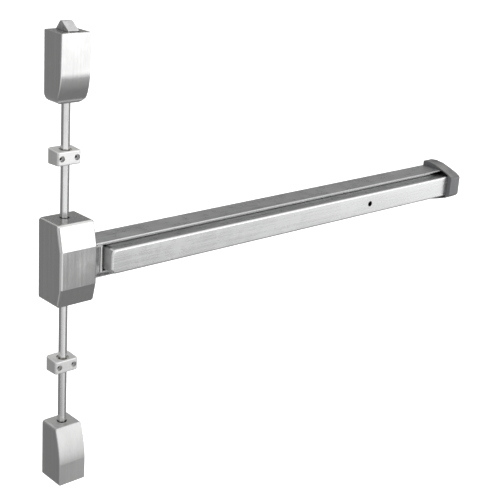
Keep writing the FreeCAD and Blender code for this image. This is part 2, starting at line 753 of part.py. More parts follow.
def top_bolt():
    # Wedge-nosed bolt that swings forward and down about its pin when the rod is drawn.
    outline = [(-15, 350.5), (-8, 351), (-4, 357), (-4, 374), (-16, 388.5), (-20.5, 388.5)]
    outline += [(-37.5, 376.5), (-37.5, 371), (-34, 355.5), (-24, 352.5)]
    solid = prism(outline, "x", -bolt_half_w, 2 * bolt_half_w)
    solid = fillet_where(solid, 1.2, lambda e: middle(e).z > 388)
    solid = solid.fuse(cyl(5.8, (-bolt_half_w, bolt_pivot_y, bolt_pivot_z), (1, 0, 0), 2 * bolt_half_w))
    bore = cyl(pin_r + run_gap, (-12, bolt_pivot_y, bolt_pivot_z), (1, 0, 0), 24)
    far = bolt_pin_reach / math.cos(bolt_angle)
    wide = pin_r - 0.5 + 0.6
    slot = slot_cut(0, 0, 0, math.pi - bolt_angle, "x", bolt_pin_reach - 0.6, far + 0.6, wide, 40)
    slot.translate(V(0, bolt_pivot_y, bolt_pivot_z))
    return solid.cut(bore).cut(slot).removeSplitter()


def rod_head_pin_z():
    return bolt_pivot_z + 0.5 * rod_travel


def rod_head():
    # Fork on the rod's end that straddles the bolt.
    solid = box(-13, 13, -34, -12.5, 322, 345)
    for x0 in (-13.0, 10.2):
        solid = solid.fuse(box(x0, x0 + 2.8, -34, -21, 345, 369))
    y = bolt_pivot_y - bolt_pin_reach
    solid = solid.cut(cyl(2.5, (-20, y, rod_head_pin_z()), (1, 0, 0), 40))
    solid = solid.cut(hex_rod(320, upper_rod_z[1]))
    return solid.removeSplitter()


def rod_head_pin():
    y = bolt_pivot_y - bolt_pin_reach
    return cyl(2.5, (-13.4, y, rod_head_pin_z()), (1, 0, 0), 26.8)


# ---------------------------------------------------------------- bottom latch

def low_outline(w):
    z0, z1 = low_z
    d0, d1 = low_depth
    pts = [(w and 1 or 0, z0 + w), (-d1 + w, z0 + w), (-d1 + w, -356)]
    for i in range(1, 8):
        t = i / 7.0
        pts.append((-d1 + w + (d1 - d0) * t ** 1.5, -356 + (z1 - w + 356) * t))
    pts.append((w and 1 or 0, z1 - w))
    return pts


def bottom_latch_cover():
    solid = curve_prism(low_outline(0.0), low_half_w, 2)
    solid = fillet_where(solid, 5.0, lambda e: along_y_at_side(e) and middle(e).z > -300)
    solid = fillet_where(solid, 1.6, lambda e: middle(e).y < -1 and e.BoundBox.XLength < 20)
    w = cover_wall
    solid = solid.cut(curve_prism(low_outline(w), low_half_w - w, 2))
    solid = solid.cut(cyl(8.6, (0, rod_y, low_z[1] - 4), (0, 0, 1), 8))
    solid = solid.cut(cyl(8.8, (0, rod_y, low_z[0] - 3), (0, 0, 1), 8))
    for z in (-318.0, -358.0):
        solid = solid.cut(cyl(2.2, (20, -9, z), (1, 0, 0), 12))
    return solid


def bottom_latch_base():
    solid = box(-23.6, 23.6, -plate_t, 0, -393.2, -294.5)
    seat = box(-13, 13, -33, -plate_t, -312, -309)
    solid = solid.fuse(seat.cut(cyl(8.2, (0, rod_y, -313), (0, 0, 1), 6)))
    for z in (-318.0, -358.0):
        lug = box(20.6, 23.6, -14, -plate_t, z - 5, z + 5)
        solid = solid.fuse(lug.cut(cyl(1.8, (18, -9, z), (1, 0, 0), 8)))
    for x in (-17.0, 17.0):
        for z in (-302.0, -370.0):
            solid = solid.cut(cyl(fix_hole_r, (x, -4, z), (0, 1, 0), 5))
    return solid.removeSplitter()


def bolt_guide():
    # Block that steers the bottom bolt.
    solid = box(-13, 13, -33, -plate_t, -393.2, -378)
    return solid.cut(cyl(low_bolt_r + run_gap, (0, rod_y, -400), (0, 0, 1), 30))


def bottom_bolt():
    # Round bolt with a spring collar, a slightly thinner throw and a rounded tip.
    solid = cyl(low_bolt_r, (0, rod_y, low_step_z), (0, 0, 1), -344 - low_step_z)
    tip = cyl(low_throw_r, (0, rod_y, low_bolt_tip), (0, 0, 1), low_step_z - low_bolt_tip)
    tip = fillet_where(tip, 2.5, lambda e: middle(e).z < low_bolt_tip + 0.1)
    solid = solid.fuse(tip)
    solid = solid.fuse(cyl(11.0, (0, rod_y, -344), (0, 0, 1), 6))
    solid = solid.fuse(cyl(9.0, (0, rod_y, -352), (0, 0, 1), 8))
    return solid.cut(hex_rod(lower_rod_z[0], -330)).removeSplitter()


save(case_cover(), "case_cover")
save(chassis_plate(), "chassis_plate")
save(lever_pins(), "lever_pins")
save(retaining_clips(), "retaining_clips")
save(slide_guides(), "slide_guides")
save(cover_screws(27.0, -12, (52.0, -50.0), 35.0), "case_screws")
save(lift_lever(1), "upper_lever")
save(lift_lever(-1), "lower_lever")
save(upper_slide(), "upper_slide")
save(lower_slide(), "lower_slide")
save(slide_pin(slide_pin_z()), "upper_slide_pin")
save(slide_pin(-slide_pin_z()), "lower_slide_pin")
save(jam_nut(68.0, 72.5), "upper_nut")
save(jam_nut(-58.5, -54.0), "lower_nut")
save(bar_channel(), "bar_channel")
save(joint_plate(), "joint_plate")
save(joint_screws(), "joint_screws")
save(mouth_filler(), "mouth_filler")
save(bar_guides(), "bar_guides")
save(link_bar(), "link_bar")
save(dog_tab(), "dog_tab")
save(link_pins(), "link_pins")
save(crank(crank_x[0]), "left_crank")
save(crank(crank_x[1]), "right_crank")
save(crank_brackets(), "crank_brackets")
save(crank_pins(), "crank_pins")
save(spring_anchor(), "spring_anchor")
save(return_spring(), "return_spring")
save(dog_bracket(), "dog_bracket")
save(dog_screw(), "dog_screw")
save(dog_hook(), "dog_hook")
save(push_pad(), "push_pad")
save(pad_plug(pad_x0 + 3.2, pad_x0 + 13, (2.2, -1)), "pad_plug_left")
save(pad_plug(pad_x1 - 10, pad_x1, (-1, 2.2)), "pad_plug_right")
save(pad_brackets(), "pad_brackets")
save(pad_pins(), "pad_pins")
save(end_cap(), "end_cap")
save(end_cap_bracket(), "end_cap_bracket")
save(channel_screws(), "channel_screws")
save(cover_screws(952.0, -18, (-20.0, 20.0), cap_x1), "cap_screws")
save(rod_guide(guide_z[0]), "upper_guide")
save(rod_guide(guide_z[1]), "lower_guide")
save(rod_bush(guide_z[0]), "upper_bush")
save(rod_bush(guide_z[1]), "lower_bush")
save(hex_rod(*upper_rod_z), "upper_rod")
save(hex_rod(*lower_rod_z), "lower_rod")
save(top_latch_cover(), "top_latch_cover")
save(top_latch_base(), "top_latch_base")
save(top_pivot_pin(), "top_pivot_pin")
save(top_bolt(), "top_bolt")
save(rod_head(), "rod_head")
save(rod_head_pin(), "rod_head_pin")
save(coil(10.5, 0.9, 289.0, 322.0, 5), "top_spring")
save(cover_screws(19.0, -9, (340.0, 300.0), top_half_w), "top_latch_screws")
save(bottom_latch_cover(), "bottom_latch_cover")
save(bottom_latch_base(), "bottom_latch_base")
save(bolt_guide(), "bolt_guide")
save(bottom_bolt(), "bottom_bolt")
save(coil(9.8, 0.8, -338.0, -312.0, 5), "bottom_spring")
save(cover_screws(18.0, -9, (-318.0, -358.0), low_half_w), "bottom_latch_screws")
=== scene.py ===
# %% [markdown]
# # Dressing a panic exit bar
#
# A panic exit bar is screwed to the push side of a door. When its long pad is pressed, two bell
# cranks, a link bar and two lift levers draw a top bolt down and a floor bolt up by hexagonal rods.
# The shapes come from the imported CAD model, which loads as a fixed frame in metres:
# X runs along the bar, Y goes into the door and Z is up.
# This lesson adds what the CAD lacks: metal that looks brushed and handled, round-cornered rods,
# wound springs and a plain studio.
# Every surface keeps its CAD size, so nothing here is allowed to grow the model.

# %% Load the frame
import json
import math

import bpy
import numpy as np
from mathutils import Matrix, Vector


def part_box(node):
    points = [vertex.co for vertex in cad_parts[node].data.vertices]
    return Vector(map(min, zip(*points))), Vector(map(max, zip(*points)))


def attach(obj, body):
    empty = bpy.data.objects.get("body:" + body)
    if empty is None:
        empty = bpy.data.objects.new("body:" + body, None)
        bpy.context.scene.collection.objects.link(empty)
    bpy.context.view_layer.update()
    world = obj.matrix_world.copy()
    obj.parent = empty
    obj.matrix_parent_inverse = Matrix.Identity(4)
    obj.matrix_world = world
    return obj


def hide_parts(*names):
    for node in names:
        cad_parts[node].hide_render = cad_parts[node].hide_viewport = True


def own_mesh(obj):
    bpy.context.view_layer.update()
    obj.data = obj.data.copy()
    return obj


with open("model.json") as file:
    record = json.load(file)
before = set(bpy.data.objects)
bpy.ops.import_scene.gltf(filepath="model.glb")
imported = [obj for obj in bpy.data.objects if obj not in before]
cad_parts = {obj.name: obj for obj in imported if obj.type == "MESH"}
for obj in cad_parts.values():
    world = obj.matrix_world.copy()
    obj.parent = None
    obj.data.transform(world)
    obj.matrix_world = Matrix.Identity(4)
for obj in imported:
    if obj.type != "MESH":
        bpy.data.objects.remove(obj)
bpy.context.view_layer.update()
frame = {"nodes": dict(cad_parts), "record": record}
nodes = frame["nodes"]
scene = bpy.context.scene
slot_of = {part["node"]: part["material_slot"] for part in frame["record"]["subparts"]}

# %% [markdown]
# ## The camera
#
# The camera stands in front of the bar's left end, a little above it, and looks along the bar to
# the right and down. A long lens keeps the rods nearly parallel. Instead of turning the camera
# by three angles, its three axes are given as unit vectors: right, up and back. They become
# the columns of one matrix, which is the clearest way to fix a view exactly.

# %% Place the camera
camera_place = (-0.96595, -1.47359, 0.66197)
right_axis = Vector((0.74011, -0.66906, 0.06784))
up_axis = Vector((0.18066, 0.29498, 0.93827))
back_axis = Vector((-0.64777, -0.68217, 0.33919))
turn = Matrix((right_axis, up_axis, back_axis)).transposed().to_4x4()

camera_data = bpy.data.cameras.new("camera")
camera_data.sensor_width = 36.0
camera_data.lens = 81.6
camera_data.clip_start = 0.05
camera_data.clip_end = 200.0
camera = bpy.data.objects.new("camera", camera_data)
camera.matrix_world = Matrix.Translation(camera_place) @ turn
scene.collection.objects.link(camera)
scene.camera = camera
scene.view_settings.view_transform = "Standard"
print("camera lens", camera_data.lens, "mm")

# %% [markdown]
# ## Small helpers for nodes
#
# A material is a small machine of nodes. These helpers keep each step to a line or two. The first
# adds a node and fills in its sockets. The next ones do a sum, stretch a value, make noise, or
# blend and stain colours. Two more start and place a node group, which is a reusable sub-machine
# with named inputs and outputs. The last ones start a material and give its shader a roughness
# made of shares, a bumpy normal, and the finished colour.

# %% Node helpers
def add(tree, kind, values=None, **settings):
    """Adds a node. Settings are the node's own properties, values go to its input sockets."""
    node = tree.nodes.new(kind)
    for key, value in settings.items():
        setattr(node, key, value)
    for key, value in (values or {}).items():
        if isinstance(value, bpy.types.NodeSocket):
            tree.links.new(value, node.inputs[key])
        else:
            node.inputs[key].default_value = value
    return node


def math_node(tree, operation, first, second=0.0, third=0.0, clamp=False):
    """One sum on two or three values, each a number or another node's output."""
    values = {0: first, 1: second, 2: third}
    return add(tree, "ShaderNodeMath", values, operation=operation, use_clamp=clamp).outputs[0]


def times(tree, first, second):
    """The product of two values."""
    return math_node(tree, "MULTIPLY", first, second)


def remap(tree, value, low, high, to_low=0.0, to_high=1.0, kind="SMOOTHSTEP"):
    """Stretches the part of a value between low and high onto to_low to to_high."""
    numbers = {0: value, 1: low, 2: high, 3: to_low, 4: to_high}
    return add(tree, "ShaderNodeMapRange", numbers, interpolation_type=kind).outputs[0]


def vector_math(tree, operation, first, second=(0.0, 0.0, 0.0)):
    """One vector sum. Returns its node: the answer is outputs[0], or Value for a dot product."""
    return add(tree, "ShaderNodeVectorMath", {0: first, 1: second}, operation=operation)


def object_place(tree):
    """Where the shaded point is on its own object, in metres."""
    return add(tree, "ShaderNodeTexCoord").outputs["Object"]


def noise(tree, where, scale, detail, distortion=0.0):
    """Soft random clouds, scale of them to a metre, with detail finer layers."""
    values = {"Vector": where, "Scale": scale, "Detail": detail, "Distortion": distortion}
    return add(tree, "ShaderNodeTexNoise", values).outputs[0]


def blend_colour(tree, factor, first, second):
    """Goes from the first colour to the second as factor goes from 0 to 1."""
    return add(tree, "ShaderNodeMix", {0: factor, 6: first, 7: second}, data_type="RGBA").outputs[2]


def opaque(colour, share=1.0):
    """A colour times share, with the fourth number that colour sockets want."""
    return tuple(min(1.0, part * share) for part in colour) + (1.0,)


def stain(tree, base, mask, share, colour):
    """Tints base with up to share of a colour where mask is 1."""
    return blend_colour(tree, times(tree, mask, share), base, opaque(colour))


def start_group(name, inputs, outputs):
    """A node group with its sockets made; returns the tree and its input and output nodes."""
    tree = bpy.data.node_groups.new(name, "ShaderNodeTree")
    for label, kind, default in inputs:
        socket = tree.interface.new_socket(name=label, in_out="INPUT", socket_type=kind)
        socket.default_value = default
    for label, kind in outputs:
        tree.interface.new_socket(name=label, in_out="OUTPUT", socket_type=kind)
    return tree, tree.nodes.new("NodeGroupInput"), tree.nodes.new("NodeGroupOutput")


def place_group(tree, group, values=None):
    """Puts a finished group into a material; returns its outputs."""
    return add(tree, "ShaderNodeGroup", values, node_tree=group).outputs


def new_material(name):
    """An empty node material; returns it with its tree and its Principled shader."""
    material = bpy.data.materials.new(name)
    material.use_nodes = True
    return material, material.node_tree, material.node_tree.nodes["Principled BSDF"]


def bump(tree, relief, depth, below=None):
    """A normal tilted by a relief of 0 to 1, depth metres deep, on top of the bumps below."""
    values = {"Height": relief, "Strength": 1.0, "Distance": depth}
    if below is not None:
        values["Normal"] = below
    return add(tree, "ShaderNodeBump", values).outputs[0]


def share_sum(tree, start, shares):
    """A start value plus the sum of mask x share over the shares, kept between 0 and 1."""
    total = start
    for mask, share in shares:
        total = math_node(tree, "MULTIPLY_ADD", mask, share, total, clamp=True)
    return total


def feed(tree, shader, base, roughness, normal, metallic=0.0):
    """Gives a Principled shader its colour, roughness, normal, and one constant metallic."""
    tree.links.new(base, shader.inputs["Base Color"])
    tree.links.new(roughness, shader.inputs["Roughness"])
    tree.links.new(normal, shader.inputs["Normal"])
    shader.inputs["Metallic"].default_value = metallic


print("helpers ready")

# %% [markdown]
# ## Studio: the floor
#
# Polished metal is mostly a picture of its surroundings, so the surroundings are the lighting.
# A floor a metre under the bar stands in for the ground of the doorway, pale and even. It glows
# a little, so that it has no dark horizon, and it is clear when looked at from underneath.

# %% Build the floor
floor_z = -1.0
floor_half = 40.0
corners = [(-1, -1), (1, -1), (1, 1), (-1, 1)]
floor_mesh = bpy.data.meshes.new("floor")
floor_points = [(a * floor_half, b * floor_half, floor_z) for a, b in corners]
floor_mesh.from_pydata(floor_points, [], [(0, 1, 2, 3)])
floor = bpy.data.objects.new("floor", floor_mesh)
scene.collection.objects.link(floor)
floor.visible_glossy = False

floor_paint, tree, shader = new_material("floor_paint")
shader.inputs["Roughness"].default_value = 0.9
shader.inputs["Specular IOR Level"].default_value = 0.1
shader.inputs["Emission Color"].default_value = (1.0, 1.0, 1.0, 1.0)
shader.inputs["Emission Strength"].default_value = 0.62
mottle = noise(tree, object_place(tree), 1.5, 3.0)
pale = blend_colour(tree, mottle, (0.9, 0.9, 0.9, 1), (0.94, 0.94, 0.93, 1))
tree.links.new(pale, shader.inputs["Base Color"])
clear = add(tree, "ShaderNodeBsdfTransparent").outputs[0]
from_below = add(tree, "ShaderNodeNewGeometry").outputs["Backfacing"]
mixed = add(tree, "ShaderNodeMixShader", {0: from_below, 1: shader.outputs[0], 2: clear})
tree.links.new(mixed.outputs[0], tree.nodes["Material Output"].inputs["Surface"])
floor_mesh.materials.append(floor_paint)
print("floor at", floor_z, "m")

# %% [markdown]
# ## Studio: the room's light
#
# The world is a soft grey room with plain soft lights, each a smooth patch of sky. There is a
# white wall to the front and right, whose lower edge fades out a little under the horizon, and a
# low strip straight ahead of the door. The rest is dim: a fill over the whole front, a low wall
# to its left, a ceiling, and a low glow behind.
# Flat fronts mirror the wall's fading edge, tilted upper facets mirror its white, and tops mirror
# the room's grey. The strip draws a bright line down every upright rounded edge.
# A patch is a side mask times a height mask. The side mask is a soft step on the dot product of
# the ray with a level direction, where 1 is dead ahead. The height mask steps on the ray's Z,
# where 0 is the horizon. The camera itself sees plain white.

# %% Light the room
room_grey = 0.25
world = bpy.data.worlds.new("studio")
scene.world = world
world.use_nodes = True
tree = world.node_tree
room = tree.nodes["Background"]
ray = add(tree, "ShaderNodeTexCoord").outputs["Generated"]
ray = vector_math(tree, "NORMALIZE", ray).outputs[0]
height = add(tree, "ShaderNodeSeparateXYZ", {0: ray}).outputs["Z"]


def side_mask(direction, starts, full):
    """1 where the ray points along a level direction, 0 far from it, with a soft step between."""
    turned = vector_math(tree, "DOT_PRODUCT", ray, direction)
    return remap(tree, turned.outputs["Value"], starts, full)


def height_mask(rises, full, fades=None, gone=None, left=0.0):
    """Rises from 0 to 1 between two heights. It may fall to what is left between two more."""
    mask = remap(tree, height, rises, full)
    if fades is None:
        return mask
    return times(tree, mask, remap(tree, height, fades, gone, 1.0, left))


def light_patch(sides, ends, power):
    """One soft light: its side mask times its height mask times its power."""
    return times(tree, times(tree, sides, ends), power)


front_right = side_mask((0.69, -0.724, 0.0), starts=0.76, full=0.90)
straight_on = side_mask((-0.12, -0.993, 0.0), starts=0.79, full=0.89)
front_left = side_mask((-0.98, -0.20, 0.0), starts=0.58, full=0.90)
whole_front = side_mask((0.0, -1.0, 0.0), starts=0.10, full=0.85)
behind = side_mask((0.55, 0.835, 0.0), starts=0.45, full=0.90)
wall_ends = height_mask(-0.326, -0.228, fades=0.20, gone=0.42, left=0.40)
strip_ends = height_mask(-0.62, -0.50, fades=-0.22, gone=-0.10)
glow_ends = height_mask(-0.70, -0.30, fades=-0.10, gone=0.05)
lights = {
    "white wall": light_patch(front_right, wall_ends, 1.32),
    "under the wall": light_patch(front_right, height_mask(-0.64, -0.50), 0.12),
    "low strip": light_patch(straight_on, strip_ends, 0.85),
    "front fill": light_patch(whole_front, height_mask(-0.30, 0.10), 0.32),
    "glow behind": light_patch(behind, glow_ends, 0.35),
    "left wall": light_patch(front_left, height_mask(-0.85, -0.55), 0.35),
    "ceiling": times(tree, height_mask(0.51, 0.72), 0.85),
}
strength = room_grey
for light in lights.values():
    strength = math_node(tree, "ADD", light, strength)
seen = add(tree, "ShaderNodeLightPath").outputs["Is Camera Ray"]
strength = add(tree, "ShaderNodeMix", {0: seen, 2: strength, 3: 1.0}, data_type="FLOAT").outputs[0]
tree.links.new(strength, room.inputs["Strength"])
room.inputs["Color"].default_value = (1.0, 1.0, 1.0, 1.0)
print("world lit by", ", ".join(lights))

# %% [markdown]
# ## Studio: two lamps
#
# Paint and plastic are not mirrors, so a patch of sky alone leaves them flat. Two large square
# lamps, a strong one from the right and a weak one from the left, give them a light and a dark
# side. They are hidden from mirror reflections, where their outline would show.

# %% Add the soft lamps
def soft_lamp(name, place, aim, size, power):
    """A square area lamp that looks from place to aim, and that no mirror shows."""
    data = bpy.data.lights.new(name, "AREA")
    data.shape = "SQUARE"
    data.size = size
    data.energy = power
    lamp = bpy.data.objects.new(name, data)
    look = (Vector(aim) - Vector(place)).to_track_quat("-Z", "Y")
    lamp.matrix_world = Matrix.Translation(place) @ look.to_matrix().to_4x4()
    lamp.visible_glossy = False
    scene.collection.objects.link(lamp)
    return lamp


key_lamp = soft_lamp("key_lamp", (2.6, -3.0, 2.2), (0.4, 0.0, 0.0), size=1.6, power=70.0)
fill_lamp = soft_lamp("fill_lamp", (-2.4, -1.6, 1.4), (0.2, 0.0, 0.0), size=1.4, power=12.0)
print("lamps", key_lamp.name, fill_lamp.name)

# %% [markdown]
# ## Effect 1: brushed grain
#
# Satin metal is rubbed with an abrasive belt that leaves short parallel scratches.
# Noise gives that look when space is squeezed across the scratches and stretched along them.
# The group takes the squeeze as a vector, so that one group serves lengthwise and upright
# brushing, and it puts out fine scratches, broad streaks and a slow waviness of the sheet.

# %% Brushed grain group
grain_group, come, go = start_group(
    "brushed_grain",
    [("Squeeze", "NodeSocketVector", (20.0, 2000.0, 2000.0)), ("Seed", "NodeSocketFloat", 0.0)],
    [("Grain", "NodeSocketFloat"), ("Streak", "NodeSocketFloat"), ("Wave", "NodeSocketFloat")],
)
seed = come.outputs["Seed"]
shift = add(grain_group, "ShaderNodeCombineXYZ", {0: seed, 1: seed}).outputs[0]
moved = vector_math(grain_group, "ADD", object_place(grain_group), shift).outputs[0]
squeezed = vector_math(grain_group, "MULTIPLY", moved, come.outputs["Squeeze"]).outputs[0]
fine = noise(grain_group, squeezed, 1.0, 3.0)
broad = noise(grain_group, squeezed, 0.16, 5.0)
slow = noise(grain_group, moved, 9.0, 1.0)
grain_group.links.new(remap(grain_group, fine, 0.25, 0.75), go.inputs["Grain"])
grain_group.links.new(remap(grain_group, broad, 0.30, 0.70), go.inputs["Streak"])
grain_group.links.new(slow, go.inputs["Wave"])
print("group", grain_group.name, "has", len(grain_group.nodes), "nodes")

# %% [markdown]
# ## Effect 2: worn edges, painted highlights and painted shade
#
# Hands, sleeves and cleaning cloths polish a cover's folds first. A Bevel node gives the normal
# that a slightly rounded edge would have. Where it differs from the true normal, there is an
# edge within reach. The mask is broken up with noise, so that no edge is worn evenly. The
# materials lighten their colour along it: partly polished metal, partly a painted highlight.
# The second output is painted shade: ambient occlusion finds corners that little light reaches,
# and the materials darken their colour there.

# %% Edges, painted highlights and painted shade group
crevice_reach = 0.006
wear_and_light_group, come, go = start_group(
    "edge_wear_and_painted_light",
    [("Width", "NodeSocketFloat", 0.0008), ("Patchiness", "NodeSocketFloat", 0.5)],
    [("Edge", "NodeSocketFloat"), ("Crevice shade", "NodeSocketFloat")],
)
true_normal = add(wear_and_light_group, "ShaderNodeNewGeometry").outputs["Normal"]
# Edge mask: the materials lighten their colour along it, partly as polish, partly as a painted
# highlight.
rounded = add(wear_and_light_group, "ShaderNodeBevel", {"Radius": come.outputs["Width"]}, samples=4)
facing = vector_math(wear_and_light_group, "DOT_PRODUCT", rounded.outputs[0], true_normal).outputs["Value"]
edge = remap(wear_and_light_group, math_node(wear_and_light_group, "SUBTRACT", 1.0, facing), 0.005, 0.16)
patches = remap(wear_and_light_group, noise(wear_and_light_group, object_place(wear_and_light_group), 90.0, 4.0), 0.35, 0.60)
patchiness = come.outputs["Patchiness"]
keep = math_node(wear_and_light_group, "SUBTRACT", 1.0, patchiness)
patches = math_node(wear_and_light_group, "MULTIPLY_ADD", patches, patchiness, keep)
wear_and_light_group.links.new(times(wear_and_light_group, edge, patches), go.inputs["Edge"])
# Painted shade: ambient occlusion gives the mask that darkens corners in the materials' colour.
hidden = add(wear_and_light_group, "ShaderNodeAmbientOcclusion", {"Distance": crevice_reach}, samples=4)
wear_and_light_group.links.new(remap(wear_and_light_group, hidden.outputs["AO"], 0.75, 0.25), go.inputs["Crevice shade"])
print("group", wear_and_light_group.name, "has", len(wear_and_light_group.nodes), "nodes")

# %% [markdown]
# ## Effect 3: handling marks and dust
#
# Pads are pushed by hands, so they carry faint greasy clouds that make the satin patchy. Ledges
# that face up gather a film of dust. Clouds are two layers of noise multiplied. Dust is where
# the surface faces up, thinned by another noise. Scratches are the few highest crests of a noise
# that is stretched along a slanting line.

# %% Handling group
hand_group, come, go = start_group(
    "handling_marks",
    [("Cloud size", "NodeSocketFloat", 14.0)],
    [("Smudge", "NodeSocketFloat"), ("Dust", "NodeSocketFloat"), ("Scratch", "NodeSocketFloat")],
)
where = object_place(hand_group)
clouds = noise(hand_group, where, come.outputs["Cloud size"], 4.0, distortion=0.6)
clouds = remap(hand_group, clouds, 0.42, 0.68)
spots = remap(hand_group, noise(hand_group, where, 60.0, 5.0), 0.3, 0.6)
hand_group.links.new(times(hand_group, clouds, spots), go.inputs["Smudge"])
true_normal = add(hand_group, "ShaderNodeNewGeometry").outputs["Normal"]
upward = add(hand_group, "ShaderNodeSeparateXYZ", {0: true_normal}).outputs["Z"]
flat_up = remap(hand_group, upward, 0.55, 0.95)
specks = remap(hand_group, noise(hand_group, where, 35.0, 6.0), 0.30, 0.65)
hand_group.links.new(times(hand_group, flat_up, specks), go.inputs["Dust"])
slant = {"Vector": where, "Rotation": (0.4, 0.7, 0.5), "Scale": (30.0, 900.0, 900.0)}
slanted = add(hand_group, "ShaderNodeMapping", slant).outputs[0]
lines = noise(hand_group, slanted, 1.0, 1.0)
hand_group.links.new(remap(hand_group, lines, 0.70, 0.76), go.inputs["Scratch"])
print("group", hand_group.name, "has", len(hand_group.nodes), "nodes")

# %% [markdown]
# ## Brushed metals
#
# The covers are satin stainless steel, the channel and pad are satin aluminium, and the rods are
# drawn steel bar. All of them are a metallic Principled shader. The groups move its base colour
# by a few percent, its roughness by more, and its normal very slightly, as abrasion does. They
# also paint light into the colour: a painted highlight on the edges and painted shade in the
# corners. Values that are the same all over, such as Metallic, are set on the shader itself. The
# pad's upper and lower faces get painted shade: their colour is darkened towards a dark grey.

# %% Brushed metal maker
sheet_wave = 0.0005
scratch_depth = 0.000006
painted_shade_grey = (0.05, 0.05, 0.05)
dust_grey = (0.46, 0.45, 0.43)


def brushed_metal(
    name, colour, squeeze, rough, width=0.0008, seed=0.0, contrast=0.06, dusty=0.30, painted_top_shade=0.0
):
    """Satin metal. Colour = colour x (1 - contrast x (1 - streaks)), darkened as painted shade by
    painted_top_shade where the face looks up or down, lighter on edges (partly polish, partly a
    painted highlight), darker in corners as painted shade, greyer under dust. Roughness = rough +
    a share each of grain, streaks, smudges and dust, less on rubbed edges."""
    material, tree, shader = new_material(name)
    grain = place_group(tree, grain_group, {"Squeeze": squeeze, "Seed": seed})
    wear_and_light = place_group(tree, wear_and_light_group, {"Width": width})
    hand = place_group(tree, hand_group)
    dust = times(tree, hand["Dust"], dusty)

    base = blend_colour(tree, grain["Streak"], opaque(colour, 1.0 - contrast), opaque(colour))
    # Painted shade: faces that look up or down are darkened towards a dark grey.
    if painted_top_shade > 0.0:
        true_normal = add(tree, "ShaderNodeNewGeometry").outputs["Normal"]
        upward = add(tree, "ShaderNodeSeparateXYZ", {0: true_normal}).outputs["Z"]
        level = remap(tree, math_node(tree, "ABSOLUTE", upward), 0.80, 0.97)
        base = stain(tree, base, level, painted_top_shade, painted_shade_grey)
    # Lighter edges, 1.1 x the colour: partly polish, partly a painted highlight.
    base = stain(tree, base, wear_and_light["Edge"], 0.75, [1.10 * part for part in colour])
    # Painted shade: corners that little light reaches are darkened.
    base = stain(tree, base, wear_and_light["Crevice shade"], 0.45, (0.10, 0.10, 0.095))
    base = blend_colour(tree, dust, base, opaque(dust_grey))
    shares = [
        (grain["Grain"], 0.06),
        (grain["Streak"], 0.03),
        (hand["Smudge"], 0.06),
        (dust, 0.30),
        (wear_and_light["Edge"], -0.06),
    ]
    waves = bump(tree, grain["Wave"], sheet_wave)
    scored = math_node(tree, "SUBTRACT", grain["Grain"], hand["Scratch"])
    scratches = bump(tree, scored, scratch_depth, below=waves)
    feed(tree, shader, base, share_sum(tree, rough, shares), scratches, metallic=1.0)
    return material


upright = (1900.0, 1900.0, 22.0)
crosswise = (22.0, 1900.0, 1900.0)
lengthwise = (14.0, 1900.0, 1900.0)
along_rod = (1400.0, 1400.0, 9.0)
cover_steel = brushed_metal("satin_cover_steel", (0.71, 0.71, 0.706), upright, 0.15)
foot_steel = brushed_metal("matte_cover_steel", (0.59, 0.59, 0.587), upright, 0.38, seed=2.3)
guide_steel = brushed_metal("matte_guide_steel", (0.88, 0.88, 0.875), crosswise, 0.40, seed=3.1)
channel_alu = brushed_metal(
    "satin_channel_aluminium", (0.74, 0.745, 0.75), lengthwise, 0.20, seed=5.2, contrast=0.16
)
pad_alu = brushed_metal(
    "satin_pad_aluminium",
    (0.80, 0.803, 0.806),
    lengthwise,
    0.22,
    seed=8.4,
    contrast=0.04,
    dusty=0.10,
    painted_top_shade=0.62,
)
rod_steel = brushed_metal(
    "drawn_rod_steel", (0.80, 0.80, 0.80), along_rod, 0.16, width=0.0005, seed=1.7
)
brushed = (cover_steel, foot_steel, guide_steel, channel_alu, pad_alu, rod_steel)
print("brushed metals made:", len(brushed))

# %% [markdown]
# ## Plain steel and zinc
#
# The parts inside are not brushed. Pins and bolts are turned and ground, so their marks are very
# fine, and their finish is oily. Their corners are darkened as painted shade, and their edges are
# lightened, partly as polish and partly as a painted highlight. Brackets are pressed from
# zinc-plated sheet: bright, a little blue, and clouded by crystals a few millimetres wide. The
# crystals are the cells of a Voronoi texture, whose borders a little noise bends. Brackets get
# the same lighter edges and painted shade.

# %% Turned steel and zinc plate
def turned_steel(name, colour, rough):
    """Machined steel: fine noise for the tool marks, painted shade where surfaces meet, and edges
    lightened, partly as polish and partly as a painted highlight.
    Roughness = rough + a share each of the oil film and of smudges."""
    material, tree, shader = new_material(name)
    wear_and_light = place_group(tree, wear_and_light_group, {"Width": 0.0005, "Patchiness": 0.3})
    hand = place_group(tree, hand_group, {"Cloud size": 70.0})
    where = object_place(tree)
    marks = noise(tree, where, 1600.0, 2.0)
    film = remap(tree, noise(tree, where, 110.0, 5.0), 0.35, 0.65)
    base = blend_colour(tree, film, opaque(colour, 0.82), opaque(colour))
    # Lighter edges: partly polish, partly a painted highlight.
    base = stain(tree, base, wear_and_light["Edge"], 1.0, (0.78, 0.78, 0.77))
    # Painted shade in the corners, where surfaces meet.
    base = stain(tree, base, wear_and_light["Crevice shade"], 0.6, (0.06, 0.055, 0.05))
    roughness = share_sum(tree, rough, [(film, 0.12), (hand["Smudge"], 0.10)])
    feed(tree, shader, base, roughness, bump(tree, marks, 0.000015), metallic=1.0)
    return material


